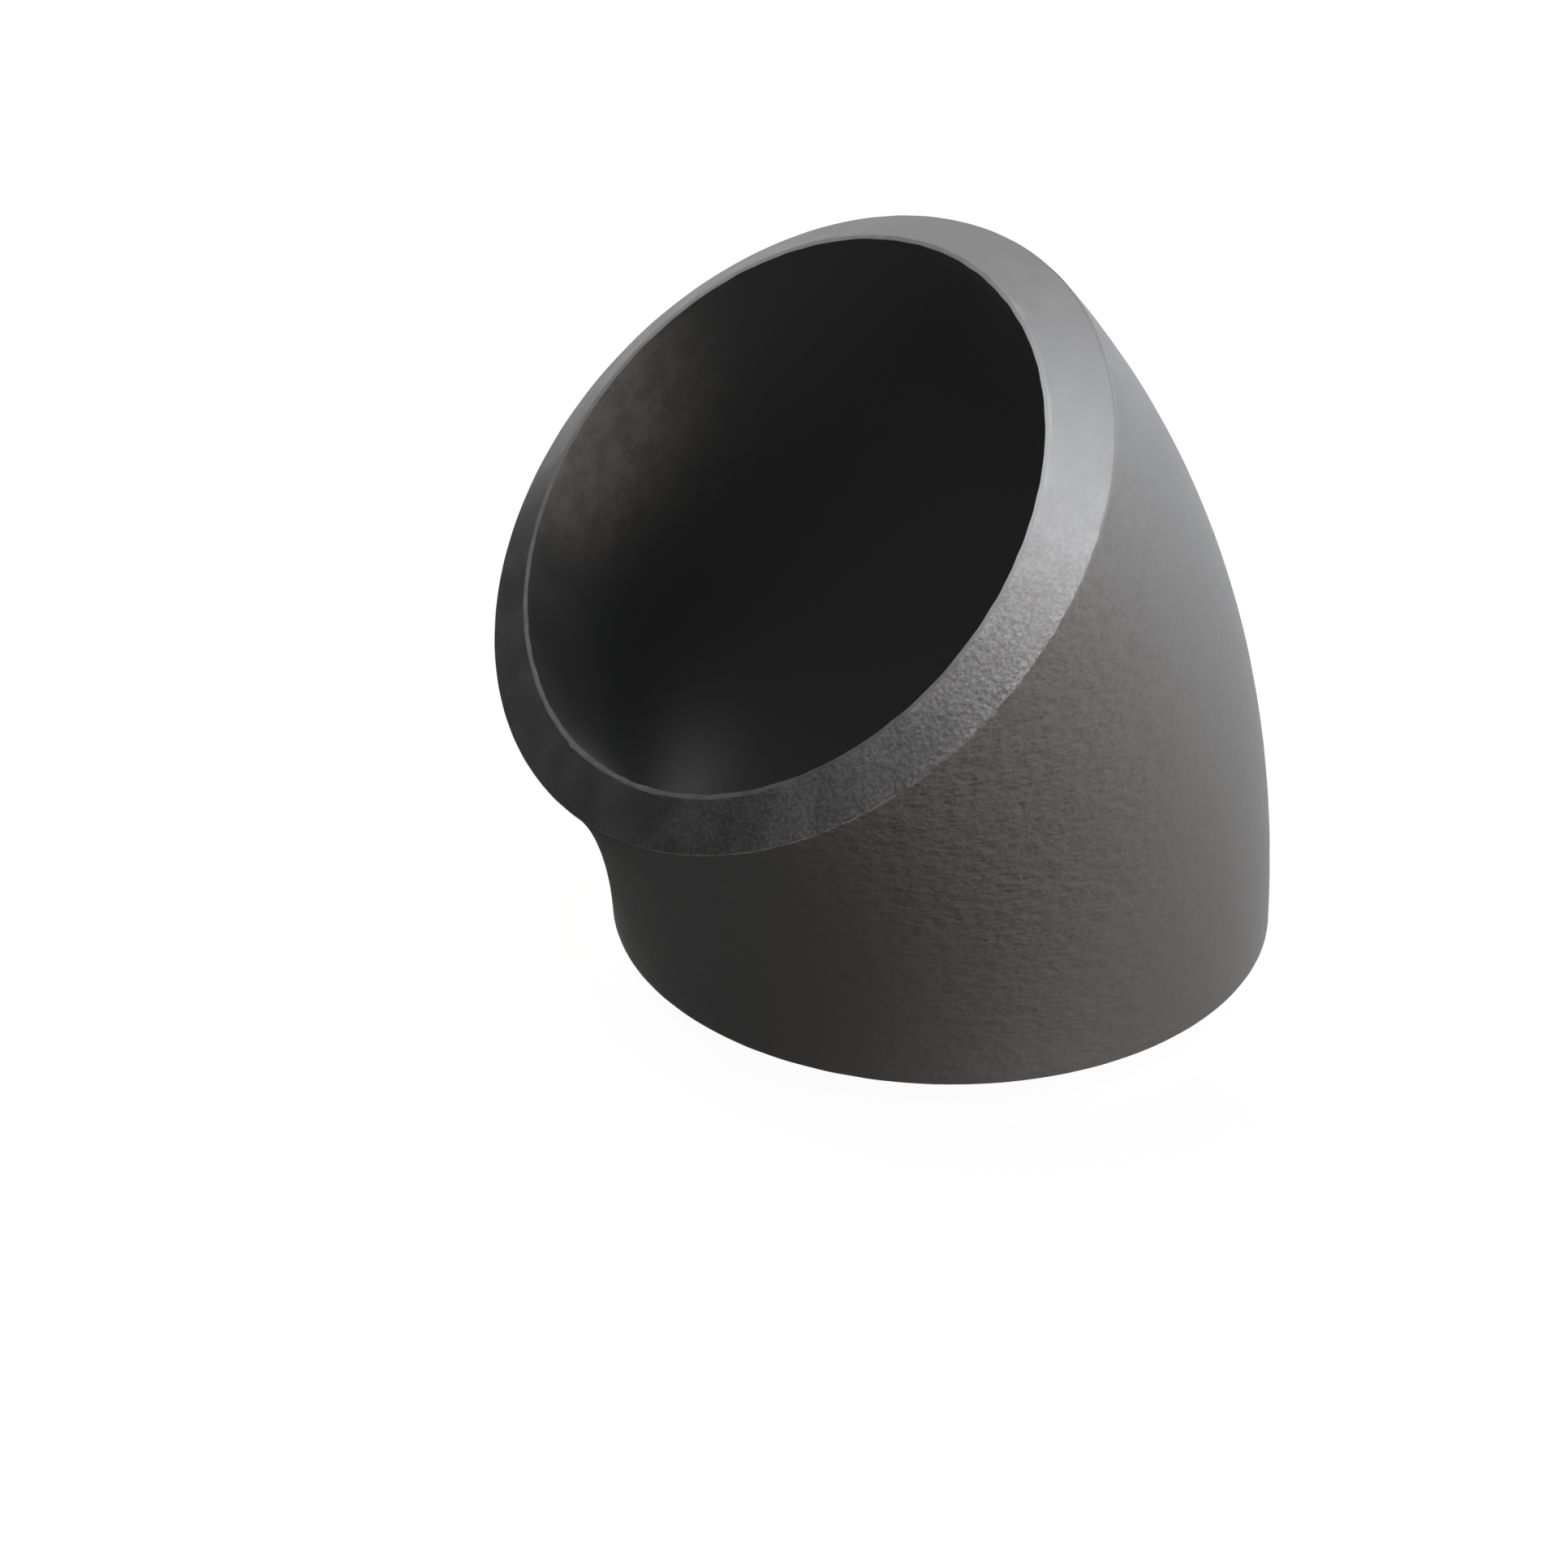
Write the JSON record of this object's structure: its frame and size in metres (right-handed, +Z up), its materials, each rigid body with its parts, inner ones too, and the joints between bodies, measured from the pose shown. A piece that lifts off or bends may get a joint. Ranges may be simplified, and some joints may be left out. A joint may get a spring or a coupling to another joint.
{
  "type": "butt-weld pipe bend",
  "caption": "Long-radius 45 degree steel pipe bend with a round bore and a bevelled weld end at each side.",
  "frame": {"origin": "centre of the lower end's face, where the pipe's axis meets it", "axes": "+Z up along the pipe's axis at the lower end, into the bend; the bend turns towards -Y; X is square to the plane of the bend"},
  "size_m": [0.0424, 0.049, 0.0477],
  "materials": {
    "steel": "dark matt grey, hot formed and shot blasted, with machined weld bevels"
  },
  "bodies": {
    "root": {"pipe_bend": "steel"}
  },
  "joints": []
}
